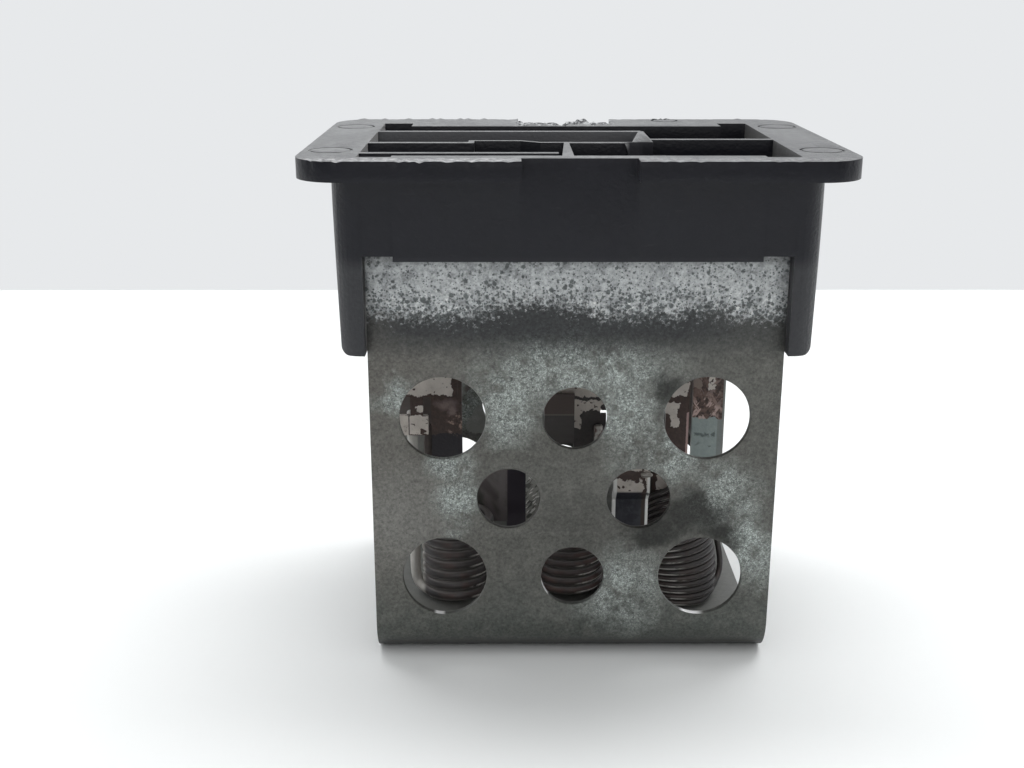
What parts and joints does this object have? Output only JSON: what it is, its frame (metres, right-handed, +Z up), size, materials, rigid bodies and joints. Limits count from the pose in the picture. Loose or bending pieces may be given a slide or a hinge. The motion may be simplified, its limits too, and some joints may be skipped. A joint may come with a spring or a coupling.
{
  "type": "blower motor resistor",
  "caption": "Heater blower resistor: black socket head over a vented folded sheet-metal shield with wound resistor coils, terminals and a thermal fuse inside.",
  "frame": {"origin": "middle of the underside, where the shield's floor rests", "axes": "+Z up, towards the plug socket's mouth; -Y towards the front plate shown in the picture; +X to the right seen from the front"},
  "size_m": [0.0618, 0.045, 0.0611],
  "materials": {
    "head_plastic": "satin moulded black",
    "shield_sheet": "tarnished galvanised sheet",
    "terminal_strip": "dull stained strip",
    "oxidised_strip": "rusty strip",
    "resistance_wire": "heat-darkened wire",
    "fuse_can": "dull can"
  },
  "bodies": {
    "root": {"head": "head_plastic", "heat_shield": "shield_sheet", "common_terminal": "terminal_strip", "left_terminal": "oxidised_strip", "middle_terminal": "terminal_strip", "link_terminal": "terminal_strip", "right_terminal": "oxidised_strip", "left_coil": "resistance_wire", "middle_coil": "resistance_wire", "right_coil": "resistance_wire", "thermal_fuse": "fuse_can"}
  },
  "joints": []
}
